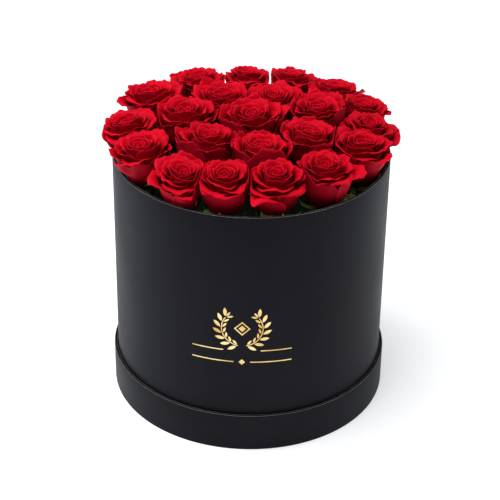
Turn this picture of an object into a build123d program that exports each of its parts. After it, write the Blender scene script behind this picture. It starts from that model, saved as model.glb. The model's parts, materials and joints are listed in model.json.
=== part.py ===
from build123d import *
import math
import os

# Round flower box: a tall paper-covered hat-box that stands in its own upturned lid and holds
# 22 cut roses in wet foam. Millimetres, +Z up, origin at the middle of the lid's underside,
# which rests on the table. The foil emblem faces -Y.

# Board and paper
paper = 0.3
board = 2.0
foil = 0.1

# Lid, used as a tray: closed side down, skirt up
lid_radius = 113.2
lid_height = 33.0

# Box
box_radius = 110.0
rim_height = 212.0
rim_turn_in = 20.0

# Emblem: a wreath round a diamond, over two rows of thin rules
emblem_x = -5.0
emblem_z = 105.0
wreath_radius = 16.0
wreath_rise = 9.0
wreath_steps = 7
wreath_start = -78.0
wreath_step = 19.0
wreath_outer_leaf = (7.5, 2.8)
wreath_inner_leaf = (5.0, 1.7)
wreath_leaf_spread = 40.0
wreath_leaf_gap = 1.3
twig_width = 0.7
diamond_sides = (9.0, 7.0, 4.0)
stud_side = 3.6
rule_width = 0.9
upper_rule = (26.5, -11.5, 24.0)
lower_rule = (22.5, -22.0, 32.0)

# Waterproof pot and foam, two layers of half-round blocks cut from 230 x 110 x 80 bricks
liner_radius = 105.0
liner_wall = 0.6
foam_radius = 104.3
foam_layer = 80.0
foam_seam = 0.4
liner_gap = 0.1

# Roses
stem_radius = 2.6
stem_grip = 0.1
stem_depth = 66.0
hole_extra = 1.5
calyx_radius = 4.0
hip_radius = 4.8
hip_upper = 3.0
hip_lower = 4.5
bloom_height = 41.0
bloom_waist = 30.0
press_gap = 0.3
press_reach = 12.0
sepal_count = 5
sepal_length = 15.0
sepal_width = 5.0
sepal_thickness = 0.8
sepal_droop = 24.0
sepal_turn = 25.0
leaf_length = 27.0
leaf_width = 9.0
leaf_thickness = 0.6
leaf_rise = 35.0
leaf_drop = 12.0
outer_lean = 8.0

# The crown of blooms stays inside the wall below the rim and may overhang it above
throat_radius = 105.5
crown_radius = 113.0
rim_clearance = 1.0
crown_top = 270.0

# One row for each rose: x, y of the widest part of its bloom, bloom radius, calyx height
outer_roses = [
    (-44, 83, 20.5, 197),
    (-4, 88, 19.0, 198),
    (33, 89, 19.0, 196),
    (67, 66, 20.5, 197),
    (89, 39, 18.5, 196),
    (90, 4, 20.5, 197),
    (84, -31, 21.0, 197),
    (57, -67, 20.5, 196),
    (20, -82, 21.5, 197),
    (-20, -82, 19.5, 196),
    (-54, -75, 19.5, 196),
    (-83, -41, 21.5, 198),
    (-95, -1, 21.5, 198),
    (-80, 49, 23.0, 199),
]
inner_roses = [
    (-25, 37, 20.5, 203),
    (17, 38, 20.0, 202),
    (54, 20, 20.5, 202),
    (44, -26, 20.5, 203),
    (6, -50, 20.5, 202),
    (-35, -37, 22.0, 204),
    (-52, 6, 23.0, 204),
    (0, -1, 23.0, 205),
]

# Leaves left on some stems: number of the rose and the way its leaf points, in degrees
leaves = {8: 350, 9: 250, 10: 225, 12: 290}

# Heights of the stack, from the table up
lid_board_bottom = paper
lid_board_top = lid_board_bottom + board
lid_floor = lid_board_top + paper
box_board_bottom = lid_floor + paper
box_board_top = box_board_bottom + board
box_floor = box_board_top + paper
foam_bottom = box_floor + liner_wall + liner_gap
foam_middle = foam_bottom + foam_layer
foam_top = foam_middle + foam_layer


def disc(radius, bottom, top):
    """A flat disc between two heights."""
    return Pos(0, 0, (bottom + top) / 2) * Cylinder(radius, top - bottom)


def ring(inner, outer, bottom, top):
    """An upright tube between two radii and two heights."""
    return disc(outer, bottom, top) - disc(inner, bottom, top)


def save(name, shape):
    """Writes one node."""
    export_step(shape, f"parts/{name}.step")


# ---- Lid ----


def make_lid():
    """The upturned lid: a board panel and skirt, wrapped outside and lined inside."""
    skirt_outer = lid_radius - paper
    skirt_inner = skirt_outer - board
    skirt_top = lid_height - paper
    outside = ring(skirt_outer, lid_radius, paper, lid_height)
    over_edge = ring(skirt_inner - paper, skirt_outer, skirt_top, lid_height)
    turned_in = ring(skirt_inner - paper, skirt_inner, lid_floor, skirt_top)
    save("lid_top_paper", disc(lid_radius, 0, paper))
    save("lid_panel_board", disc(skirt_inner, lid_board_bottom, lid_board_top))
    save("lid_skirt_board", ring(skirt_inner, skirt_outer, lid_board_bottom, skirt_top))
    save("lid_skirt_paper", outside + over_edge + turned_in)
    save("lid_lining_paper", disc(skirt_inner, lid_board_top, lid_floor))


# ---- Box ----


def make_box():
    """The tall box: a board wall on a board base, wrapped outside and lined inside."""
    wall_outer = box_radius - paper
    wall_inner = wall_outer - board
    wall_top = rim_height - paper
    outside = ring(wall_outer, box_radius, box_board_bottom, rim_height)
    over_rim = ring(wall_inner - paper, wall_outer, wall_top, rim_height)
    turned_in = ring(wall_inner - paper, wall_inner, wall_top - rim_turn_in, wall_top)
    save("wall_board", ring(wall_inner, wall_outer, box_board_bottom, wall_top))
    save("base_board", disc(wall_inner, box_board_bottom, box_board_top))
    save("wall_cover_paper", outside + over_rim + turned_in)
    save("base_cover_paper", disc(box_radius, lid_floor, box_board_bottom))
    save("wall_lining_paper", ring(wall_inner - paper, wall_inner, box_board_top, wall_top - rim_turn_in))
    save("floor_lining_paper", disc(wall_inner - paper, box_board_top, box_floor))


# ---- Foil emblem ----


def almond(length, width):
    """A pointed leaf outline, with its base at the origin and its tip on +X."""
    radius = (length**2 + width**2) / (4 * width)
    offset = radius - width / 2
    upper = Pos(length / 2, -offset) * Circle(radius)
    lower = Pos(length / 2, offset) * Circle(radius)
    return upper & lower


def branch():
    """The right half of the wreath: a bent twig with a pair of loose leaves at every step."""
    sweep = (wreath_steps - 1) * wreath_step
    sprig = [trace(CenterArc((0, 0), wreath_radius, wreath_start, sweep), twig_width)]
    sides = ((wreath_inner_leaf, wreath_leaf_spread), (wreath_outer_leaf, -wreath_leaf_spread))
    for index in range(wreath_steps):
        joint = Rot(0, 0, wreath_start + wreath_step * index) * Pos(wreath_radius, 0)
        for size, spread in sides:
            sprig.append(joint * Rot(0, 0, 90 + spread) * Pos(wreath_leaf_gap, 0) * almond(*size))
    sprig.append(joint * Rot(0, 0, 90) * Pos(wreath_leaf_gap, 0) * almond(*wreath_inner_leaf))
    return Sketch() + sprig


def diamond(side):
    """A square stood on its corner."""
    return Rot(0, 0, 45) * Rectangle(side, side)


def rule(x, y, length):
    """One thin level bar, centred at x, y."""
    return Pos(x, y) * Rectangle(length, rule_width)


def make_emblem():
    """A laurel wreath round a diamond, over two rows of thin rules, stamped on the wall."""
    outer, inner, core = diamond_sides
    half = Pos(0, wreath_rise) * branch() + rule(*upper_rule) + rule(*lower_rule)
    gem = Pos(0, wreath_rise) * (diamond(outer) - diamond(inner) + diamond(core))
    stud = Pos(0, lower_rule[1]) * diamond(stud_side)
    pattern = half + mirror(half, Plane.YZ) + gem + stud
    prism = extrude(Plane.XZ * Pos(emblem_x, emblem_z) * pattern, 2 * box_radius)
    skin = ring(box_radius, box_radius + foil, box_floor, rim_height)
    save("foil_emblem", prism & skin)


# ---- Roses ----


def rose_list():
    """Every rose as (number, x, y, radius, calyx height, axis), outer ring first."""
    roses = []
    for x, y, radius, height in outer_roses:
        away = math.hypot(x, y)
        slope = math.sin(math.radians(outer_lean))
        axis = Vector(slope * x / away, slope * y / away, math.cos(math.radians(outer_lean)))
        roses.append((len(roses) + 1, x, y, radius, height, axis))
    for x, y, radius, height in inner_roses:
        roses.append((len(roses) + 1, x, y, radius, height, Vector(0, 0, 1)))
    return roses


def calyx_plane(rose):
    """The rose's own frame: origin where bloom meets stem, Z along the stem."""
    _, x, y, _, height, axis = rose
    origin = Vector(x, y, height + bloom_waist) - axis * (bloom_waist / axis.Z)
    return Plane(origin=origin, x_dir=Vector(1, 0, 0) - axis * axis.X, z_dir=axis)


def pressed(shape, rose, roses):
    """Cuts a shape flat where its rose meets each neighbour, halfway by the bloom sizes."""
    number, x, y, radius, _, _ = rose
    for other in roses:
        gap = Vector(other[1] - x, other[2] - y, 0)
        if other[0] == number or gap.length > radius + other[3] + press_reach:
            continue
        share = (gap.length**2 + radius**2 - other[3] ** 2) / (2 * gap.length)
        way = gap.normalized()
        face = Plane(origin=Vector(x, y, 0) + way * (share - press_gap), z_dir=way)
        shape = split(shape, bisect_by=face, keep=Keep.BOTTOM)
    return shape


def crown():
    """The space that the blooms may fill: inside the wall, and a little over the rim."""
    edge = rim_height + rim_clearance
    return disc(throat_radius, foam_top, edge) + disc(crown_radius, edge, crown_top)


def make_bloom(rose, roses, space):
    """One bloom as a plain goblet, pressed against its neighbours."""
    radius = rose[3]
    neck = (calyx_radius, 0)
    belly = (0.8 * radius, 10.5)
    widest = (radius, 26)
    shoulder = (0.92 * radius, 35)
    lip = (0.55 * radius, 40)
    outline = Line((0, 0), neck)
    outline += ThreePointArc(neck, belly, widest)
    outline += ThreePointArc(widest, shoulder, lip)
    outline += Line(lip, (0, bloom_height))
    outline += Line((0, bloom_height), (0, 0))
    goblet = revolve(Plane.XZ * make_face(outline), Axis.Z)
    return pressed(calyx_plane(rose) * goblet, rose, roses) & space


def blade(length, width, thickness):
    """A flat pointed leaf along +X."""
    return extrude(almond(length, width), thickness / 2, both=True)


def make_stem(rose, roses, space):
    """Stem, hip, sepals and any leaf of one rose, as one piece."""
    number, _, _, _, height, axis = rose
    frame = calyx_plane(rose)
    length = (height - foam_top + stem_depth) / axis.Z
    middle = -(length + hip_upper) / 2
    stem = Pos(0, 0, middle) * Cylinder(stem_radius, length - hip_upper)
    lower = Pos(0, 0, -hip_upper - hip_lower / 2) * Cone(stem_radius, hip_radius, hip_lower)
    upper = Pos(0, 0, -hip_upper / 2) * Cone(hip_radius, calyx_radius, hip_upper)
    sepal = Rot(0, sepal_droop, 0) * blade(sepal_length, sepal_width, sepal_thickness)
    sepal = Pos(0, 0, -hip_upper) * sepal
    greens = Part()
    for index in range(sepal_count):
        greens += Rot(0, 0, number * sepal_turn + index * 360 / sepal_count) * sepal
    greens = frame * greens
    if number in leaves:
        node = frame.origin - axis * leaf_drop
        leaf = Rot(0, -leaf_rise, 0) * blade(leaf_length, leaf_width, leaf_thickness)
        greens += Pos(node) * Rot(0, 0, leaves[number]) * leaf
    return frame * (stem + lower + upper) + (pressed(greens, rose, roses) & space)


def make_roses(roses):
    """All blooms and stems."""
    space = crown()
    for rose in roses:
        name = f"rose_{rose[0]:02d}"
        save(f"{name}_bloom", make_bloom(rose, roses, space))
        save(f"{name}_stem", make_stem(rose, roses, space))


# ---- Waterproof pot and foam ----


def stem_hole(rose):
    """The hole that a stem leaves in the foam."""
    frame = calyx_plane(rose)
    _, _, _, _, height, axis = rose
    length = (height - foam_top + stem_depth) / axis.Z + hole_extra
    return frame * Pos(0, 0, -length / 2) * Cylinder(stem_radius + stem_grip, length)


def half_round(bottom, top, side):
    """Half of a round layer, on the front (-1) or back (+1) side of the seam."""
    block = Pos(0, side * (foam_radius + foam_seam / 2), 0) * Box(3 * foam_radius, 2 * foam_radius, 1000)
    return disc(foam_radius, bottom, top) & block


def make_insert(roses):
    """The pot and its four foam blocks, with a hole for each stem in the upper two."""
    pot = disc(liner_radius, box_floor, foam_top)
    pot -= disc(liner_radius - liner_wall, box_floor + liner_wall, foam_top + 1)
    holes = [stem_hole(rose) for rose in roses]
    lower = half_round(foam_bottom, foam_middle, -1) + half_round(foam_bottom, foam_middle, 1)
    save("waterproof_liner", pot)
    save("foam_lower_bricks", lower)
    save("foam_upper_front", half_round(foam_middle, foam_top, -1) - holes)
    save("foam_upper_back", half_round(foam_middle, foam_top, 1) - holes)


os.makedirs("parts", exist_ok=True)
all_roses = rose_list()
make_lid()
make_box()
make_emblem()
make_insert(all_roses)
make_roses(all_roses)
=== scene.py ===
import json
import math
import bpy
import numpy as np
from mathutils import Matrix, Vector


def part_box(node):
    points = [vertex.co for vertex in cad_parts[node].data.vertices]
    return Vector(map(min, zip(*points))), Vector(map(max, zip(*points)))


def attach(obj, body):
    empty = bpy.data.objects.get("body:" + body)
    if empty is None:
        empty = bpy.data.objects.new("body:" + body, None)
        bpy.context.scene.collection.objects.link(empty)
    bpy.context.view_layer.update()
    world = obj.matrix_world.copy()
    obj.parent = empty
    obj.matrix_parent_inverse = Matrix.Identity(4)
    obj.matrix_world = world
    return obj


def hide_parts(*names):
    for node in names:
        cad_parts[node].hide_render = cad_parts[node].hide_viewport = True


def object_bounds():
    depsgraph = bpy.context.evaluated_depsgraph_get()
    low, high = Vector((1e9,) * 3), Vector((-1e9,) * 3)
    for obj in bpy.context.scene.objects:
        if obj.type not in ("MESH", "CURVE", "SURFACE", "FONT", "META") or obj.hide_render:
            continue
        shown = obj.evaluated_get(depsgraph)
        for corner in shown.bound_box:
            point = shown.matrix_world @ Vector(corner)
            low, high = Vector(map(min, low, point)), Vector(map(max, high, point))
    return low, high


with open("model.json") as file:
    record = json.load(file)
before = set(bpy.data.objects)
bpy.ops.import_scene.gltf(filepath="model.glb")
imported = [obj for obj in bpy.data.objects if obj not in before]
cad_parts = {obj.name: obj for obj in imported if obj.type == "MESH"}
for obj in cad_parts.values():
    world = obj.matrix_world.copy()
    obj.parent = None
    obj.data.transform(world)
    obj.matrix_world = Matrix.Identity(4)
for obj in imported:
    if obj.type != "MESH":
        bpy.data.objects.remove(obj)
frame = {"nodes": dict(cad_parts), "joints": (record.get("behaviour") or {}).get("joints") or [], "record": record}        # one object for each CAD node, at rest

cadLow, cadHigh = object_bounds()
scene = bpy.context.scene
mm = 0.001               # shapes are worked out in millimetres and kept in metres
fullTurn = 6.28
smoothAngle = math.radians(40)
print("frame loaded:", len(frame["nodes"]), "nodes")


# Shader nodes are written as plain sums: a Value wraps one output socket of a paint
class Value:
    def __init__(self, paint, socket):
        self.paint = paint
        self.socket = socket

    def combine(self, operation, other, swapped=False):
        first, second = (other, self) if swapped else (self, other)
        return self.paint.node("ShaderNodeMath", {"operation": operation}, {0: first, 1: second})

    def __add__(self, other):
        return self.combine("ADD", other)

    def __sub__(self, other):
        return self.combine("SUBTRACT", other)

    def __mul__(self, other):
        return self.combine("MULTIPLY", other)

    def __rsub__(self, other):
        return self.combine("SUBTRACT", other, True)

    __radd__ = __add__
    __rmul__ = __mul__


# The node tree of a material or world; fixed gives the shader's own sockets, with _ for a space
class Paint:
    def __init__(self, owner, shader="Principled BSDF", **fixed):
        owner.use_nodes = True
        self.owner = owner
        self.nodes = owner.node_tree.nodes
        self.links = owner.node_tree.links
        self.shader = self.nodes[shader]
        for socket, value in fixed.items():
            self.shader.inputs[socket.replace("_", " ")].default_value = value

    def node(self, kind, settings=None, sockets=None, output=0):
        made = self.nodes.new(kind)
        for key, value in (settings or {}).items():
            setattr(made, key, value)
        for key, value in (sockets or {}).items():
            if isinstance(value, Value):
                self.links.new(value.socket, made.inputs[key])
            else:
                made.inputs[key].default_value = value
        return Value(self, made.outputs[output])

    def place(self):
        return self.node("ShaderNodeTexCoord", output="Object")

    def attribute(self, name):
        return self.node("ShaderNodeAttribute", {"attribute_name": name}, output="Fac")

    def stretched(self, where, scale):
        return self.node("ShaderNodeMapping", sockets={"Vector": where, "Scale": scale})

    def noise(self, where, scale, detail=2.0, rough=0.5):
        sockets = {"Vector": where, "Scale": scale, "Detail": detail, "Roughness": rough}
        return self.node("ShaderNodeTexNoise", sockets=sockets)

    def between(self, value, low, high, outLow=0.0, outHigh=1.0):
        sockets = {"Value": value, "From Min": low, "From Max": high, "To Min": outLow, "To Max": outHigh}
        return self.node("ShaderNodeMapRange", {"interpolation_type": "SMOOTHSTEP"}, sockets)

    # Over the middle of a noise, which seldom reaches 0 or 1
    def over(self, noise, low, high):
        return self.between(noise, 0.3, 0.7, low, high)

    def mix(self, share, first, second):
        sockets = {0: share, 6: first, 7: second}        # factor and the two colours
        return self.node("ShaderNodeMix", {"data_type": "RGBA"}, sockets, output=2)

    def give(self, socket, value):
        self.links.new(value.socket, self.shader.inputs[socket])

    def bump(self, value, strength, distance):
        sockets = {"Height": value, "Strength": strength, "Distance": distance}
        self.give("Normal", self.node("ShaderNodeBump", sockets=sockets))


def newPaint(name, **fixed):
    return Paint(bpy.data.materials.new(name), **fixed)


def rgb(red, green, blue):
    return (red, green, blue, 1.0)


wrapLook = {
    "black": rgb(0.0044, 0.0044, 0.0072),
    "worn": rgb(0.0084, 0.0086, 0.0136),
    "roughness": (0.42, 0.52),
    "cloud": 14,             # noise scales, in waves per metre
    "speck": 900,
    "grain": 2600,
    "tooth": 700,
}


# Matte black soft-touch paper
def wrapPaper():
    paint = newPaint("wrapPaper", Specular_IOR_Level=0.08)
    where = paint.place()
    cloud = paint.noise(where, wrapLook["cloud"], 4, 0.6)
    grain = paint.noise(where, wrapLook["grain"], 3, 0.7)
    speck = paint.between(paint.noise(where, wrapLook["speck"]), 0.60, 0.78)
    tone = paint.over(cloud, 0.0, 0.6) + 0.4 * speck
    paint.give("Base Color", paint.mix(tone, wrapLook["black"], wrapLook["worn"]))
    paint.give("Roughness", paint.over(cloud, *wrapLook["roughness"]) + 0.06 * grain)
    paint.bump(grain + 0.5 * paint.noise(where, wrapLook["tooth"]), 0.10, 0.00012)
    return paint.owner


liningLook = {
    "dark": rgb(0.010, 0.010, 0.011),
    "light": rgb(0.026, 0.026, 0.028),
    "roughness": (0.7, 0.85),
    "fibre": (300, 300, 1500),
}


def liningPaper():
    paint = newPaint("liningPaper", Specular_IOR_Level=0.2)
    fibre = paint.noise(paint.stretched(paint.place(), liningLook["fibre"]), 1, 4, 0.6)
    paint.give("Base Color", paint.mix(fibre, liningLook["dark"], liningLook["light"]))
    paint.give("Roughness", paint.over(fibre, *liningLook["roughness"]))
    paint.bump(fibre, 0.15, 0.0001)
    return paint.owner


boardLook = {
    "dark": rgb(0.20, 0.18, 0.155),
    "light": rgb(0.36, 0.335, 0.295),
    "plyLine": rgb(0.16, 0.15, 0.13),
    "fleck": rgb(0.09, 0.08, 0.07),
    "roughness": (0.82, 0.95),
    "pulp": 240,
    "flecks": 900,
    "ply": (60, 60, 2200),
}


# Uncoated grey board, with plies in its cut edges
def greyBoard():
    paint = newPaint("greyBoard", Specular_IOR_Level=0.25)
    where = paint.place()
    pulp = paint.noise(where, boardLook["pulp"], 5, 0.7)
    fleck = paint.between(paint.noise(where, boardLook["flecks"]), 0.62, 0.70)
    ply = paint.noise(paint.stretched(where, boardLook["ply"]), 1)
    base = paint.mix(pulp, boardLook["dark"], boardLook["light"])
    base = paint.mix(0.35 * ply, base, boardLook["plyLine"])
    paint.give("Base Color", paint.mix(0.5 * fleck, base, boardLook["fleck"]))
    paint.give("Roughness", paint.over(pulp, *boardLook["roughness"]))
    paint.bump(pulp + 0.4 * ply, 0.35, 0.0002)
    return paint.owner


foilLook = {
    "deep": rgb(0.62, 0.38, 0.11),
    "pale": rgb(0.95, 0.74, 0.34),
    "tooth": rgb(0.42, 0.25, 0.08),
    "roughness": (0.30, 0.46),
    # scale of the painted reflection: large patches of pale and deep gold stand in for light sweeping
    # across the foil
    "sweep": 38,
    "grain": 1700,
}


def goldFoil():
    paint = newPaint("goldFoil", Metallic=1.0)
    where = paint.place()
    # painted reflection: patches of pale and deep gold across the foil
    sweep = paint.between(paint.noise(where, foilLook["sweep"]), 0.38, 0.62)
    tooth = paint.noise(where, foilLook["grain"], 3, 0.6)
    gold = paint.mix(sweep, foilLook["deep"], foilLook["pale"])
    paint.give("Base Color", paint.mix(0.25 * tooth, gold, foilLook["tooth"]))
    paint.give("Roughness", paint.over(tooth, *foilLook["roughness"]))
    paint.bump(tooth, 0.12, 0.00005)
    return paint.owner


filmLook = {
    "clear": rgb(0.34, 0.44, 0.38),
    # painted highlight along the film's creases
    "creaseHighlight": rgb(0.72, 0.80, 0.78),
    "roughness": (0.08, 0.22),
    "alpha": (0.09, 0.19),
    "crinkle": (90, 90, 26),
}


# Clear film, with a painted highlight: it is painted pale and less clear along its sharp creases
def clearFilm():
    paint = newPaint("clearFilm", Specular_IOR_Level=0.6)
    crinkle = paint.noise(paint.stretched(paint.place(), filmLook["crinkle"]), 1, 5, 0.6)
    fold = paint.node("ShaderNodeMath", {"operation": "ABSOLUTE"}, {0: crinkle - 0.5})
    # painted highlight: pale and more opaque along the creases
    creaseHighlight = paint.between(fold, 0.0, 0.035, 1.0, 0.0)
    paint.give("Base Color", paint.mix(creaseHighlight, filmLook["clear"], filmLook["creaseHighlight"]))
    paint.give("Roughness", paint.over(crinkle, *filmLook["roughness"]))
    paint.give("Alpha", paint.between(creaseHighlight, 0.0, 1.0, *filmLook["alpha"]))
    paint.bump(crinkle, 0.6, 0.002)
    return paint.owner


foamLook = {
    "wet": rgb(0.009, 0.040, 0.015),
    "drier": rgb(0.021, 0.084, 0.031),
    # painted shade in the low grooves between the foam's raised cells
    "cellShade": rgb(0.005, 0.016, 0.007),
    "roughness": (0.55, 0.85),
    "cells": 1300,
    "damp": 22,
}


def wetFoam():
    paint = newPaint("wetFoam", Specular_IOR_Level=0.3)
    where = paint.place()
    cells = paint.node("ShaderNodeTexVoronoi", sockets={"Vector": where, "Scale": foamLook["cells"]})
    damp = paint.noise(where, foamLook["damp"], 3, 0.6)
    base = paint.mix(damp, foamLook["wet"], foamLook["drier"])
    # painted shade: darker in the grooves between cells, where the bump is low
    paint.give("Base Color", paint.mix(paint.between(cells, 0.0, 0.55), base, foamLook["cellShade"]))
    paint.give("Roughness", paint.over(damp, *foamLook["roughness"]))
    paint.bump(1 - cells, 0.6, 0.0006)
    return paint.owner


petalLook = {
    # painted shade: the dark red deep in the bloom, towards each petal's root; the veins and streaks are
    # darkened towards it too
    "depth": rgb(0.185, 0.0003, 0.0050),
    "face": rgb(0.610, 0.0010, 0.0120),
    # painted highlight: the lighter red along each petal's lip
    "rim": rgb(0.740, 0.0040, 0.0260),
    # the petal's back, darker: partly its own duller reverse and partly painted shade on the outer sides
    # of the blooms
    "back": rgb(0.340, 0.0022, 0.0145),
    "sheenTint": rgb(1.0, 0.03, 0.07),
    "roughness": (0.48, 0.64),
    "cloud": 160,
}


# Velvety petal: painted shade darkens it towards its root, a painted highlight makes it brightest at its
# lip, and its back is painted darker, partly its own duller reverse and partly painted shade; with veins
# along it
def rosePetal():
    paint = newPaint("rosePetal", Specular_IOR_Level=0.035, Sheen_Weight=0.12, Sheen_Roughness=0.45,
                     Sheen_Tint=petalLook["sheenTint"])
    along = paint.attribute("along")
    across = paint.attribute("across")
    tone = paint.attribute("tone")
    veinPlace = {0: across * 34 + tone * 50, 1: along * 2.2, 2: tone * 9}
    vein = paint.noise(paint.node("ShaderNodeCombineXYZ", sockets=veinPlace), 1.0, 3, 0.6)
    cloud = paint.noise(paint.place(), petalLook["cloud"], 3, 0.6)
    # darker on each petal's back: partly its own duller reverse, partly painted shade
    body = paint.mix(paint.attribute("back") * 0.85, petalLook["face"], petalLook["back"])
    # painted highlight along each petal's lip
    body = paint.mix(paint.between(along, 0.92, 1.0) * 0.45, body, petalLook["rim"])
    # painted shade, darkening each petal towards its root
    body = paint.mix(paint.between(along, 0.15, 0.75), petalLook["depth"], body)
    streak = paint.between(vein, 0.42, 0.70) * 0.25
    streak = streak + paint.between(cloud, 0.45, 0.75) * 0.15 + 0.25 * tone
    paint.give("Base Color", paint.mix(streak, body, petalLook["depth"]))
    paint.give("Roughness", paint.over(cloud, *petalLook["roughness"]))
    paint.bump(vein + 0.5 * cloud, 0.25, 0.00035)
    return paint.owner


greenLook = {
    "leafDark": rgb(0.110, 0.260, 0.046),
    "leafLight": rgb(0.250, 0.470, 0.110),
    "vein": rgb(0.270, 0.420, 0.160),
    "rib": rgb(0.330, 0.470, 0.200),
    "stemDark": rgb(0.050, 0.120, 0.028),
    "stemLight": rgb(0.110, 0.190, 0.055),
    "roughness": (0.42, 0.60),
    "cloud": 130,
}


# Leaf, sepal and stem in one; a tone of 0 marks the stem
def roseGreen():
    paint = newPaint("roseGreen", Specular_IOR_Level=0.35)
    along = paint.attribute("along")
    across = paint.attribute("across")
    tone = paint.attribute("tone")
    veinPlace = {0: along * 22 - across * across * 6, 1: tone * 30, 2: 0.0}
    vein = paint.noise(paint.node("ShaderNodeCombineXYZ", sockets=veinPlace), 1.0)
    rib = paint.between(across * across, 0.0, 0.012, 1.0, 0.0)
    cloud = paint.noise(paint.place(), greenLook["cloud"], 3, 0.6)
    leaf = paint.mix(cloud, greenLook["leafDark"], greenLook["leafLight"])
    leaf = paint.mix(paint.between(vein, 0.45, 0.62) * 0.45, leaf, greenLook["vein"])
    leaf = paint.mix(rib * 0.6, leaf, greenLook["rib"])
    stem = paint.mix(cloud, greenLook["stemDark"], greenLook["stemLight"])
    paint.give("Base Color", paint.mix(paint.between(tone, 0.0, 0.1), stem, leaf))
    paint.give("Roughness", paint.over(cloud, *greenLook["roughness"]))
    paint.bump(vein + 0.6 * cloud, 0.3, 0.0003)
    return paint.owner


finishes = {
    "black_paper": wrapPaper(),
    "lining_paper": liningPaper(),
    "grey_board": greyBoard(),
    "gold_foil": goldFoil(),
    "clear_film": clearFilm(),
    "wet_foam": wetFoam(),
    "red_petals": rosePetal(),
    "green_stem": roseGreen(),
}
slotOf = {part["node"]: part["material_slot"] for part in frame["record"]["subparts"]}
for name, node in frame["nodes"].items():
    for slot in node.material_slots:
        slot.material = finishes[slotOf[name]]
print("finishes made:", len(finishes))


def clearSelection():
    bpy.ops.object.select_all(action="DESELECT")


def only(piece):
    clearSelection()
    piece.select_set(True)
    bpy.context.view_layer.objects.active = piece


def joined(piece, added):
    only(piece)
    added.select_set(True)
    bpy.ops.object.join()


def pointsOf(piece):
    spots = np.empty(len(piece.data.vertices) * 3)
    piece.data.vertices.foreach_get("co", spots)
    return spots.reshape(-1, 3)


def movePoints(piece, spots):
    piece.data.vertices.foreach_set("co", np.ascontiguousarray(spots, dtype=float).ravel())
    piece.data.update()


# Gives every point of a piece one number, which its finish reads
def mark(piece, name, values):
    layer = piece.data.attributes.new(name, "FLOAT", "POINT")
    layer.data.foreach_set("value", np.ascontiguousarray(values, dtype=np.float32).ravel())


def copyOf(stock, name):
    piece = stock.copy()
    piece.data = stock.data.copy()
    piece.name = name
    scene.collection.objects.link(piece)
    return piece


# Turns a sheet into a closed wall, half of its thickness on each side
def thicken(piece, thickness):
    solid = piece.modifiers.new("wall", "SOLIDIFY")
    solid.thickness = thickness * mm
    solid.offset = 0
    only(piece)
    bpy.ops.object.modifier_apply(modifier=solid.name)


def hand(piece, body, slot, *nodes):
    piece.data.materials.clear()
    piece.data.materials.append(finishes[slot])
    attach(piece, body)
    if nodes:
        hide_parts(*nodes)


# A ring or disc turned up from one circle: each (radius, height) is one extrusion
def turned(name, profile, sides, capped=False):
    clearSelection()
    radius, height = profile[0]
    fill = "NGON" if capped else "NOTHING"
    at = (0, 0, height * mm)
    bpy.ops.mesh.primitive_circle_add(vertices=sides, radius=radius * mm, fill_type=fill, location=at)
    piece = bpy.context.object
    piece.name = name
    bpy.ops.object.transform_apply(location=True)
    bpy.ops.object.mode_set(mode="EDIT")
    bpy.ops.mesh.select_all(action="SELECT")
    for nextRadius, nextHeight in profile[1:]:
        lift = {"value": (0, 0, (nextHeight - height) * mm)}
        bpy.ops.mesh.extrude_region_move(TRANSFORM_OT_translate=lift)
        grow = nextRadius / radius
        bpy.ops.transform.resize(value=(grow, grow, 1), center_override=(0, 0, 0))
        radius, height = nextRadius, nextHeight
    bpy.ops.mesh.select_all(action="SELECT")
    bpy.ops.mesh.remove_doubles(threshold=1e-6)
    bpy.ops.mesh.normals_make_consistent(inside=False)
    bpy.ops.object.mode_set(mode="OBJECT")
    only(piece)
    bpy.ops.object.shade_smooth_by_angle(angle=smoothAngle)
    return piece


# Points of an arc about a (radius, height), between two angles in degrees
def rounded(centre, size, start, end, steps=5):
    points = []
    for step in range(steps + 1):
        turn = math.radians(start + (end - start) * step / steps)
        points.append((centre[0] + size * math.cos(turn), centre[1] + size * math.sin(turn)))
    return points


boxLook = {
    "sides": 256,
    "paper": 0.3,
    "rimRound": 1.25,
    "footRound": 0.3,
    "hem": 4,                # the paper is turned in over the rim and down this far behind the lining
    "rings": (40, 80, 120, 160, 190),
    "lapWide": 5.5,          # half the width of the lap, in degrees
    "lapProud": 0.22,
    "lapPaper": 0.15,
}
lidLook = {"edge": 3, "rings": (10, 20)}


# A node's outer radius, its lowest and its highest height
def sizeOf(node):
    low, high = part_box(node)
    return (high.x - low.x) / 2 / mm, low.z / mm, high.z / mm


def boxWrap():
    outer, bottom, rim = sizeOf("wall_cover_paper")
    inner = sizeOf("floor_lining_paper")[0]
    liningTop = sizeOf("wall_lining_paper")[2]
    board = sizeOf("wall_board")[0]
    size = boxLook["rimRound"]
    foot = boxLook["footRound"]
    behind = inner + boxLook["paper"]
    profile = [(board, bottom)]
    profile += rounded((outer - foot, bottom + foot), foot, -70, 0, 3)
    profile += [(outer, height) for height in boxLook["rings"]]
    profile += rounded((outer - size, rim - size), size, 0, 90)
    profile += rounded((inner + size, rim - size), size, 90, 180)
    profile += [(inner, liningTop), (behind, liningTop), (behind, rim - boxLook["hem"])]
    profile += [(board, rim - boxLook["hem"]), (board, bottom)]
    wrap = turned("boxWrap", profile, boxLook["sides"])
    hand(wrap, "box", "black_paper", "wall_cover_paper")


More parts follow.
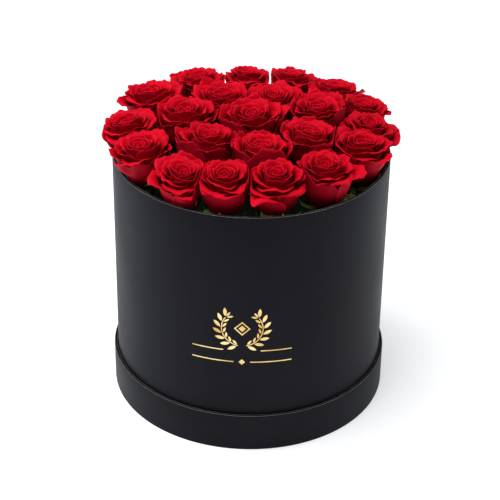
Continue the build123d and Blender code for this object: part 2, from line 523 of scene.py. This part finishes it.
# The wrap's lap: a narrow strip of doubled paper down the back of the wall
def wrapLap():
    outer, bottom, rim = sizeOf("wall_cover_paper")
    clearSelection()
    bpy.ops.mesh.primitive_grid_add(x_subdivisions=8, y_subdivisions=24, size=2)
    lap = bpy.context.object
    lap.name = "boxWrapLap"
    spots = pointsOf(lap)
    turn = math.pi / 2 + spots[:, 0] * math.radians(boxLook["lapWide"])
    rise = (spots[:, 1] + 1) / 2
    feathered = np.clip((1 - np.abs(spots[:, 0])) * 6, 0, 1)
    proud = outer + 0.02 + boxLook["lapProud"] * feathered
    low, high = bottom + 1, rim - boxLook["rimRound"]
    height = low + rise * (high - low)
    movePoints(lap, np.stack([proud * np.cos(turn), proud * np.sin(turn), height], 1) * mm)
    thicken(lap, boxLook["lapPaper"])
    bpy.ops.object.shade_smooth_by_angle(angle=smoothAngle)
    hand(lap, "box", "black_paper")


# The lid stands upside down, so its skirt's rim is on top
def lidSkirtWrap():
    outer, bottom, top = sizeOf("lid_skirt_paper")
    inner, _, liningTop = sizeOf("lid_lining_paper")
    board = sizeOf("lid_skirt_board")[0]
    size = boxLook["rimRound"]
    turnedIn = inner - boxLook["paper"]
    profile = [(board, bottom), (outer, bottom)]
    profile += [(outer, height) for height in lidLook["rings"]]
    profile += rounded((outer - size, top - size), size, 0, 90)
    profile += rounded((turnedIn + size, top - size), size, 90, 180)
    profile += [(turnedIn, liningTop), (inner, liningTop), (inner, top - boxLook["hem"])]
    profile += [(board, top - boxLook["hem"]), (board, bottom)]
    wrap = turned("lidSkirtWrap", profile, boxLook["sides"])
    hand(wrap, "lid", "black_paper", "lid_skirt_paper")


# Paper over the closed side, as thick as the skirt's paper stands clear of the table
def lidPanelWrap():
    outer, paper, _ = sizeOf("lid_skirt_paper")
    edge = outer - lidLook["edge"]
    profile = [(edge, 0)] + rounded((outer - paper, paper), paper, -90, 0) + [(edge, paper)]
    wrap = turned("lidPanelWrap", profile, boxLook["sides"], capped=True)
    hand(wrap, "lid", "black_paper", "lid_top_paper")


potLook = {
    "sides": 240,
    "wall": 0.25,
    "spread": 0.6,           # the pleats swing about a line this far outside the plain pot
    "lift": 0.05,
    "corner": 3,
    "floorRing": 20,
    "rings": (20, 45, 70, 95, 120, 140, 155),
    "pleats": [(0.30, 40, 0.0), (0.18, 17, 1.3)],    # depth, number round the pot, start
    "pleatStart": 12,        # height where the pleats begin, and how soon they are full
    "pleatGrow": 30,
    "flatFloor": 2,          # the floor isn't pleated, up to this far inside the foam's edge
}


# The film pot, pleated where it was gathered round the foam
def filmPot():
    outer, bottom, top = sizeOf("waterproof_liner")
    inner = sizeOf("foam_upper_back")[0]
    wall = potLook["wall"]
    corner = potLook["corner"]
    rings = potLook["rings"]
    middle = inner - potLook["floorRing"]
    out = outer + potLook["spread"]
    floor = bottom + potLook["lift"]
    profile = [(middle, floor), (inner - corner, floor)]
    profile += rounded((out - corner, floor + corner), corner, -80, 0, 4)
    profile += [(out, height) for height in rings]
    profile += [(out, top), (out - wall, top)]
    profile += [(out - wall, height) for height in reversed(rings)]
    profile += rounded((out - corner, floor + corner), corner - wall, 0, -80, 4)
    profile += [(inner - corner, floor + wall), (middle, floor + wall)]
    pot = turned("filmPot", profile, potLook["sides"], capped=True)
    spots = pointsOf(pot) / mm
    around = np.arctan2(spots[:, 1], spots[:, 0])
    reach = np.hypot(spots[:, 0], spots[:, 1])
    pleat = sum(depth * np.sin(around * count + start) for depth, count, start in potLook["pleats"])
    share = np.clip((spots[:, 2] - potLook["pleatStart"]) / potLook["pleatGrow"], 0, 1)
    share = share * (reach > inner - potLook["flatFloor"])
    grown = (reach + pleat * share) / np.maximum(reach, 1e-6)
    spots[:, :2] *= grown[:, None]
    movePoints(pot, spots * mm)
    hand(pot, "insert", "clear_film", "waterproof_liner")


boxWrap()
wrapLap()
lidSkirtWrap()
lidPanelWrap()
filmPot()
print("box, lid and pot wrapped")


crownLook = {
    "headRise": 30.0,        # the blooms press on each other this far above the calyx
    "neighbours": 60,        # heads further apart than this never touch
    "wallClear": 0.9,        # from a petal to the box wall, below the rim
    "pushUp": 0.3,           # a pressed petal rides up by this share of how far it was pressed
    "overhang": 118.0,       # how far a petal may lean out over the rim, from the middle of the box
    "overRim": (1.5, 9),     # heights above the rim where it starts to lean out and where it is free
    "upright": 0.999,        # a stem with more than this along Z stands in the inner ring
}


# Where each rose stands, read from its CAD bloom: calyx centre, stem direction, head radius
def readRoses():
    roses = []
    for joint in frame["joints"]:
        if not joint["child"].startswith("rose_"):
            continue
        name = joint["child"]
        axis = np.array(joint["axis"], float)
        spots = pointsOf(frame["nodes"][name + "_bloom"]) / mm
        along = spots @ axis
        neck = spots[along < along.min() + 0.05]
        calyx = (neck.min(0) + neck.max(0)) / 2
        away = spots - calyx
        away -= np.outer(away @ axis, axis)
        stem = pointsOf(frame["nodes"][name + "_stem"]) / mm
        roses.append({
            "name": name,
            "axis": axis,
            "upright": axis[2] > crownLook["upright"],
            "calyx": calyx,
            "radius": np.linalg.norm(away, axis=1).max(),
            "height": along.max() - along.min(),
            "stem": (stem @ axis).min() - calyx @ axis,
            "head": calyx + axis * crownLook["headRise"] / axis[2],
        })
    return roses


roses = readRoses()
wallInner = sizeOf("floor_lining_paper")[0]
rimTop = sizeOf("wall_cover_paper")[2]


def eased(low, high, value):
    share = np.clip((value - low) / (high - low), 0, 1)
    return share * share * (3 - 2 * share)


# Presses points smoothly back behind a limit, over the last few millimetres before it
def pressed(reach, limit, ease):
    start = limit - ease
    over = np.maximum(reach - start, 0)
    return np.where(reach > start, limit - ease * np.exp(-over / ease), reach)


# Keeps a rose's points on its own side of the planes between heads, and inside the box wall
def squeeze(spots, rose, gap, ease):
    head = rose["head"]
    for other in roses:
        apart = other["head"][:2] - head[:2]
        distance = np.hypot(*apart)
        if other is rose or distance > crownLook["neighbours"]:
            continue
        way = apart / distance
        share = (distance ** 2 + rose["radius"] ** 2 - other["radius"] ** 2) / (2 * distance)
        reach = (spots[:, :2] - head[:2]) @ way
        moved = pressed(reach, share - gap, ease)
        spots[:, :2] += np.outer(moved - reach, way)
        spots[:, 2] += crownLook["pushUp"] * (reach - moved)
    reach = np.hypot(spots[:, 0], spots[:, 1])
    leanStart, leanFree = crownLook["overRim"]
    freed = eased(rimTop + leanStart, rimTop + leanFree, spots[:, 2])
    limit = wallInner - crownLook["wallClear"]
    limit = limit + (crownLook["overhang"] - limit) * freed
    spots[:, :2] *= (pressed(reach, limit, ease) / np.maximum(reach, 1e-6))[:, None]
    return spots


# Carries points from a rose's own frame, Z along the stem, to the box's frame
def planted(spots, rose, spin=0.0, tilt=(0.0, 0.0)):
    turn = Vector((0, 0, 1)).rotation_difference(Vector(rose["axis"])).to_matrix()
    nod = Matrix.Rotation(math.radians(tilt[0]), 3, "X") @ Matrix.Rotation(math.radians(tilt[1]), 3, "Y")
    whole = np.array(turn @ nod @ Matrix.Rotation(spin, 3, "Z"))
    return spots @ whole.T + rose["calyx"]


# A row of flat blanks in one mesh, and for each point its blank's number, and its place across and along
def blankStock(name, count, columns, rows):
    clearSelection()
    bpy.ops.mesh.primitive_grid_add(x_subdivisions=columns, y_subdivisions=rows, size=2)
    stock = bpy.context.object
    stock.name = name
    apart = 3
    copies = stock.modifiers.new("copies", "ARRAY")
    copies.count = count
    copies.use_relative_offset = False
    copies.use_constant_offset = True
    copies.constant_offset_displace = (apart, 0, 0)
    bpy.ops.object.modifier_apply(modifier=copies.name)
    bpy.ops.object.shade_smooth()
    spots = pointsOf(stock)
    number = np.round(spots[:, 0] / apart).astype(int)
    across = spots[:, 0] - apart * number
    along = (spots[:, 1] + 1) / 2
    return stock, number, across, along


bloomLook = {
    "petals": 24,
    "columns": 22,
    "rows": 16,
    "thick": 0.34,
    "gap": 0.45,             # from a petal to the plane that it shares with its neighbour
    "ease": 3.2,             # how far before that plane a petal starts to bend
    "fullness": 1.17,        # petals open this much wider than the CAD bloom, then press back
    "innerFullness": 1.27,
    "droop": (0.3, 0.9),     # how far the outer petals fold back
    "innerDroop": (0.0, 0.45),
    "nod": 4.0,              # most that a head tips, in degrees
    "goldenTurn": 2.39996,   # from each petal to the next, in radians
    "turnSpread": 0.16,
    "oval": 0.38,            # most that a heart is drawn out to one side
    "drift": (0.4, 1.8),     # how far a heart stands off the middle
    "hanging": {"rose_09": 238, "rose_11": 300},     # direction of a loose outermost petal
    "hangingDrop": 5.0,
    "hangingTip": 0.12,
    "hangingLip": 4.0,
}
# Each pair is the value at the heart, then what the outermost petal has more
petalShape = {
    "corners": (0.15, 0.15),     # share of the length that the rounded corners take
    "belly": (0.065, 0.745),     # widest place, as a share of the head's radius
    "halfWide": (9.5, 9.0),
    "root": (0.8, 2.2),
    "uneven": (0.3, 0.7),        # share of the difference in height between petals
    "lip": (4.2, 6.6),
    "wave": (0.15, 1.15),        # in and out
    "lift": (0.2, 1.0),          # up and down
    "ruffle": (0.1, 0.6),
}
lipStart = 0.74              # share of a petal's length where its lip starts to roll out
lipMost = 1.35               # a pointed tip runs on past the lip's own length, up to this


# Shapes every petal of one bloom at once; order runs from 0 at the heart to 1 outside
def openBloom(number, across, along, size, height, droop, rng, hanging):
    count = bloomLook["petals"]
    loose = (number == count - 1) * (hanging is not None)
    order = number / (count - 1)
    edge = np.abs(across)

    def perPetal(low, high):
        return rng.uniform(low, high, count)[number]

    def waves(fewest, most):
        return np.sin(across * math.pi * perPetal(fewest, most) + perPetal(0, fullTurn))

    def graded(name, power=1.0):
        heart, more = petalShape[name]
        return heart + more * order ** power

    turn = bloomLook["goldenTurn"] * np.arange(count) + rng.normal(0, bloomLook["turnSpread"], count)
    turn = np.where(loose, hanging or 0.0, turn[number])

    # the outline: corners cut back, and a tip in the middle
    tip = perPetal(0.02, 0.14) * eased(0.25, 0.9, order) + bloomLook["hangingTip"] * loose
    up = along * (1 - graded("corners") * edge ** 2.6 + tip * np.exp(-((across / 0.16) ** 2)))
    belly = size * graded("belly", 0.9)
    halfAngle = np.minimum(graded("halfWide") / belly, 2.6)
    width = 0.4 + 0.6 * np.sin(math.pi / 2 * np.clip(up / 0.6, 0, 1)) ** 0.9
    angle = turn + halfAngle * across * width

    # the cup, from the root to where the lip starts
    cup = np.clip(up / lipStart, 0, 1)
    root = graded("root")
    rise = height * (0.86 - (0.09 + 0.15 * droop) * eased(0.35, 1, order))
    rise = rise + perPetal(-1.4, 1.4) * graded("uneven")
    closing = 0.28 * (1 - order) ** 2
    reach = root + (belly - root) * np.sin(math.pi / 2 * cup ** 0.8) * (1 - closing * cup ** 3)
    reach = reach + perPetal(-0.6, 0.6) * np.sin(math.pi * cup) * np.cos(across * 1.5) * order
    rise = rise - bloomLook["hangingDrop"] * loose
    lifted = rise * (0.94 + 0.06 * eased(0.0, 0.3, order)) * cup ** 1.1

    # the lip rolls out and down along an arc, further at the petal's sides
    past = np.clip((up - lipStart) / (1 - lipStart), 0, lipMost)
    bend = 0.10 + (1.4 + 1.4 * droop) * eased(0.02, 0.9, order)
    bend = bend + perPetal(-0.4, 0.4) * eased(0.15, 0.5, order)
    bend = bend * (0.74 + 0.42 * edge ** 1.5) * (1 + perPetal(-0.35, 0.35) * across)
    bend = np.maximum(bend, 0.05)
    lip = graded("lip", 1.2) + bloomLook["hangingLip"] * loose
    reach = reach + lip / bend * (1 - np.cos(bend * past)) + eased(0.5, 1, order) * cup ** 2
    lifted = lifted + lip / bend * np.sin(bend * past)

    # one side of each petal lies over the next, most of all in the heart
    reach = reach * (1 + (0.26 * (1 - eased(0.05, 0.3, order)) + 0.02) * across * cup)
    reach = reach + 0.9 * eased(0.6, 1, order) * edge ** 5 * cup

    # waves and ruffles towards the edge, and a shallow fold down the middle
    swing = eased(0.45, 1.0, up)
    wave = waves(0.8, 2.0)
    wave = wave + 0.5 * waves(2.6, 4.6)
    ruffle = waves(5.0, 8.0) * eased(0.8, 1.0, up)
    reach = reach + graded("wave") * swing * wave + 0.4 * order * ruffle
    lifted = lifted + graded("lift") * swing * waves(1.0, 2.6) + graded("ruffle") * ruffle
    fold = np.exp(-((across / 0.12) ** 2)) * eased(0.3, 0.9, up) * eased(0.4, 1, order)
    reach = reach - 0.45 * fold

    stretch = rng.uniform(0.0, bloomLook["oval"]) * (1 - order) ** 1.5
    x = reach * np.cos(angle) * (1 + stretch)
    y = reach * np.sin(angle) * (1 - stretch)
    drift = rng.uniform(*bloomLook["drift"]) * (1 - order)
    return np.stack([x + drift, y, lifted], 1), up


# 1 on the face of each petal that looks away from the heart, 0 on the face that looks in
def backShare(bloom, rose):
    half = len(bloom.data.vertices) // 2
    spots = pointsOf(bloom) / mm
    middle = rose["calyx"] + rose["axis"] * 12
    first = np.linalg.norm(spots[:half] - middle, axis=1).mean()
    second = np.linalg.norm(spots[half:] - middle, axis=1).mean()
    share = np.zeros(len(spots))
    share[half:] = second > first
    share[:half] = second <= first
    return share


def makeBlooms():
    count = bloomLook["petals"]
    flat = blankStock("petalStock", count, bloomLook["columns"], bloomLook["rows"])
    stock, number, across, along = flat
    for index, rose in enumerate(roses):
        rng = np.random.default_rng(400 + index)
        droop = rng.uniform(*bloomLook["innerDroop" if rose["upright"] else "droop"])
        size = rose["radius"] * bloomLook["innerFullness" if rose["upright"] else "fullness"]
        spin = rng.uniform(0, fullTurn)
        hanging = bloomLook["hanging"].get(rose["name"])
        if hanging is not None:
            hanging = math.radians(hanging) - spin
        spots, up = openBloom(number, across, along, size, rose["height"], droop, rng, hanging)
        tilt = rng.uniform(-bloomLook["nod"], bloomLook["nod"], 2)
        spots = squeeze(planted(spots, rose, spin, tilt), rose, bloomLook["gap"], bloomLook["ease"])
        bloom = copyOf(stock, rose["name"] + "_petals")
        movePoints(bloom, spots * mm)
        mark(bloom, "along", up)
        mark(bloom, "across", across)
        tone = 0.3 * rng.uniform(0, 1) + 0.7 * rng.uniform(0, 1, count)
        mark(bloom, "tone", tone[number])
        thicken(bloom, bloomLook["thick"])
        mark(bloom, "back", backShare(bloom, rose))
        hand(bloom, rose["name"], "red_petals", rose["name"] + "_bloom")
    bpy.data.objects.remove(stock)


makeBlooms()
print("blooms opened:", len(roses))


# Heights are measured from the calyx, downwards below 0
stemLook = {
    "sides": 14,
    "radius": 2.5,
    "foot": -100.0,          # of the stock; each rose then gets its own length
    "swellings": range(-92, -24, 8),
    "scar": [(2.5, -22.5), (2.95, -21.6), (3.0, -20.8), (2.5, -19.6), (2.4, -12.0)],
    "hip": [(2.5, -8.2), (3.3, -7.0), (4.4, -5.2), (4.9, -3.4), (4.7, -1.6), (3.9, -0.3), (2.6, 0.2)],
    "thorns": [(-15.0, 0.7), (-25.5, 3.6)],          # height, direction in radians
    "thornRadius": 1.1,
    "thornLong": 2.6,
    "cutSlope": 0.55,
}
bladeLook = {
    "columns": 6,
    "rows": 12,
    "thick": 0.4,
    "gap": 1.0,
    "ease": 4.0,
    "sepals": 5,
    "sepalLong": 21.0,
    "sepalWide": 5.6,
    "sepalTip": 0.2,         # half the width of its tip
    "rimSepalLong": 30.0,    # the first sepal of a leaning rose lies out over the rim
    "rimSepalWider": 1.3,
    "leafLong": 31.0,
    "leafWide": 12.0,
    "leafStalk": 0.35,
    "leafDrop": 3.0,
    "leafTurns": {"rose_08": 350, "rose_09": 246, "rose_10": 232, "rose_11": 320, "rose_12": 290},
}


# Stem and hip turned in one, with a leaf scar and two thorns above the foam
def stemStock():
    radius = stemLook["radius"]
    foot = stemLook["foot"]
    profile = [(radius * 0.98, foot), (radius, foot + 0.8)]
    for step, height in enumerate(stemLook["swellings"]):
        profile.append((radius * (0.95 + 0.04 * (step % 2)), height))
    profile += stemLook["scar"] + stemLook["hip"]
    stem = turned("stemStock", profile, stemLook["sides"], capped=True)
    for height, turn in stemLook["thorns"]:
        clearSelection()
        way = Vector((math.cos(turn), math.sin(turn), -0.25))
        place = way * (radius + 0.7) * mm + Vector((0, 0, height * mm))
        lean = way.to_track_quat("Z", "Y").to_euler()
        wide = stemLook["thornRadius"] * mm
        long = stemLook["thornLong"] * mm
        bpy.ops.mesh.primitive_cone_add(
            vertices=8, radius1=wide, radius2=0, depth=long, location=place, rotation=lean)
        thorn = bpy.context.object
        bpy.ops.object.transform_apply()
        bpy.ops.object.shade_smooth()
        joined(stem, thorn)
    return stem


# A sepal curls up as it runs out: its direction, and how far out, sideways and up each point is
def sepalSpots(index, across, along, rose, rng):
    outward = math.atan2(rose["calyx"][1], rose["calyx"][0])
    turn = outward + rng.uniform(-0.15, 0.15) + index * 2 * math.pi / bladeLook["sepals"]
    length = bladeLook["sepalLong"] * rng.uniform(0.75, 1.05)
    half = bladeLook["sepalWide"] / 2 * (1 - along) ** 0.75 * (0.75 + 0.6 * along)
    half = half * (1 + 0.10 * np.sin(along * 26 + index)) + bladeLook["sepalTip"]
    start = rng.uniform(-0.3, 0.15)
    lift = rng.uniform(0.7, 1.5)
    if index == 0 and not rose["upright"]:
        length = bladeLook["rimSepalLong"] * rng.uniform(0.95, 1.1)
        half = half * bladeLook["rimSepalWider"]
        start = 0.2
        lift = 1.1
    pitch = start + lift * along
    out = 3.9 + length * (np.sin(pitch) - math.sin(start)) / lift
    up = -1.0 + length * (math.cos(start) - np.cos(pitch)) / lift
    return turn, out, half * across, up - 0.5 * across * across * half


# A leaf with a toothed edge rises from lower down, folded a little along its rib
def leafSpots(across, along, rose):
    turn = math.radians(bladeLook["leafTurns"][rose["name"]])
    length = bladeLook["leafLong"]
    half = bladeLook["leafWide"] / 2 * np.sin(math.pi * np.clip(along, 0, 1) ** 0.8) ** 0.85
    half = half * (1 + 0.08 * np.abs(np.sin(along * 34))) + bladeLook["leafStalk"]
    pitch = 0.95 - 0.33 * along
    out = 2.0 + length * along * np.cos(pitch)
    up = -bladeLook["leafDrop"] + length * along * np.sin(pitch)
    return turn, out, half * across, up + 0.30 * np.abs(across) * half


def greenBlades(number, across, along, rose, leafy, rng):
    spots = np.zeros((len(number), 3))
    for index in range(bladeLook["sepals"] + leafy):
        chosen = number == index
        if index < bladeLook["sepals"]:
            turn, out, side, up = sepalSpots(index, across[chosen], along[chosen], rose, rng)
        else:
            turn, out, side, up = leafSpots(across[chosen], along[chosen], rose)
        spots[chosen, 0] = out * math.cos(turn) - side * math.sin(turn)
        spots[chosen, 1] = out * math.sin(turn) + side * math.cos(turn)
        spots[chosen, 2] = up
    return spots


# Deletes the last blade, where a rose has no leaf
def trimLast(piece, number):
    only(piece)
    bpy.ops.object.mode_set(mode="EDIT")
    bpy.ops.mesh.select_all(action="DESELECT")
    bpy.ops.mesh.select_mode(type="VERT")
    bpy.ops.object.mode_set(mode="OBJECT")
    piece.data.vertices.foreach_set("select", (number == number.max()).tolist())
    bpy.ops.object.mode_set(mode="EDIT")
    bpy.ops.mesh.delete(type="VERT")
    bpy.ops.object.mode_set(mode="OBJECT")


def makeStems():
    foot = stemLook["foot"]
    blades = bladeLook["sepals"] + 1
    stock = stemStock()
    flat = blankStock("bladeStock", blades, bladeLook["columns"], bladeLook["rows"])
    bladeStock, number, across, along = flat
    for index, rose in enumerate(roses):
        rng = np.random.default_rng(800 + index)
        leafy = rose["name"] in bladeLook["leafTurns"]
        stem = copyOf(stock, rose["name"] + "_greens")
        spots = pointsOf(stem) / mm
        spots[:, 2] -= np.where(spots[:, 2] < foot + 5, foot - rose["stem"], 0)
        cut = spots[:, 2] < rose["stem"] + 0.5
        spots[cut, 2] += 1.6 + stemLook["cutSlope"] * spots[cut, 0]
        movePoints(stem, planted(spots, rose, rng.uniform(0, fullTurn)) * mm)
        mark(stem, "along", np.clip(spots[:, 2] / foot, 0, 1))
        mark(stem, "across", np.full(len(spots), 0.6))
        mark(stem, "tone", np.zeros(len(spots)))
        leaves = copyOf(bladeStock, rose["name"] + "_blades")
        spots = planted(greenBlades(number, across, along, rose, leafy, rng), rose)
        movePoints(leaves, squeeze(spots, rose, bladeLook["gap"], bladeLook["ease"]) * mm)
        mark(leaves, "along", along)
        mark(leaves, "across", across)
        mark(leaves, "tone", 0.3 + 0.7 * rng.uniform(0, 1, blades)[number])
        if not leafy:
            trimLast(leaves, number)
        thicken(leaves, bladeLook["thick"])
        joined(stem, leaves)
        hand(stem, rose["name"], "green_stem", rose["name"] + "_stem")
    bpy.data.objects.remove(stock)
    bpy.data.objects.remove(bladeStock)


makeStems()
print("stems and sepals grown")


studioLook = {
    "floor": rgb(0.93, 0.93, 0.93),
    "floorSize": 60,
    "floorGlow": 0.30,
    "sky": 1.0,
    "skyFill": 0.35,         # the sky's light on the object, less than what the camera sees
}


def studio():
    clearSelection()
    bpy.ops.mesh.primitive_plane_add(size=studioLook["floorSize"])
    floor = bpy.context.object
    floor.name = "studioFloor"
    paint = newPaint("paleFloor", Roughness=0.9, Specular_IOR_Level=0.1, Base_Color=studioLook["floor"],
                     Emission_Color=rgb(1, 1, 1), Emission_Strength=studioLook["floorGlow"])
    floor.data.materials.append(paint.owner)
    world = bpy.data.worlds.new("studioSky")
    scene.world = world
    sky = Paint(world, "Background", Color=rgb(1, 1, 1))
    seen = sky.node("ShaderNodeLightPath", output="Is Camera Ray")
    levels = {"Value": seen, "To Min": studioLook["skyFill"], "To Max": studioLook["sky"]}
    sky.give("Strength", sky.node("ShaderNodeMapRange", sockets=levels))


# name, place, size, power, colour; each softbox looks at the crown
softboxes = [
    ("overheadBox", (-0.25, -0.15, 1.25), 0.9, 13.0, (1.0, 0.99, 0.98)),
    ("leftBox", (-1.15, 0.25, 0.55), 0.8, 10.5, (0.76, 0.87, 1.0)),
    ("rightBox", (1.15, 0.30, 0.50), 0.8, 6.5, (0.78, 0.88, 1.0)),
]


def lights():
    target = Vector((0, 0, cadHigh.z * 0.8))
    for name, place, size, power, colour in softboxes:
        clearSelection()
        bpy.ops.object.light_add(type="AREA", location=place)
        box = bpy.context.object
        box.name = name
        box.data.size = size
        box.data.energy = power
        box.data.color = colour
        box.rotation_euler = (target - Vector(place)).to_track_quat("-Z", "Y").to_euler()


cameraLook = {
    "place": (0, -1.1262, 0.8047),
    "pitch": 31.39,
    "roll": 0.906,
    "lens": 115.7,
    "sensor": 36.0,
    "clip": (0.05, 50),
}


def camera():
    bpy.ops.object.camera_add()
    eye = bpy.context.object
    eye.name = "studioCamera"
    eye.data.lens = cameraLook["lens"]
    eye.data.sensor_width = cameraLook["sensor"]
    eye.data.clip_start, eye.data.clip_end = cameraLook["clip"]
    pitch = Matrix.Rotation(math.radians(90 - cameraLook["pitch"]), 4, "X")
    roll = Matrix.Rotation(math.radians(cameraLook["roll"]), 4, "Z")
    eye.matrix_world = Matrix.Translation(cameraLook["place"]) @ pitch @ roll
    scene.camera = eye


studio()
lights()
camera()
scene.view_settings.view_transform = "Standard"
print("studio lit")
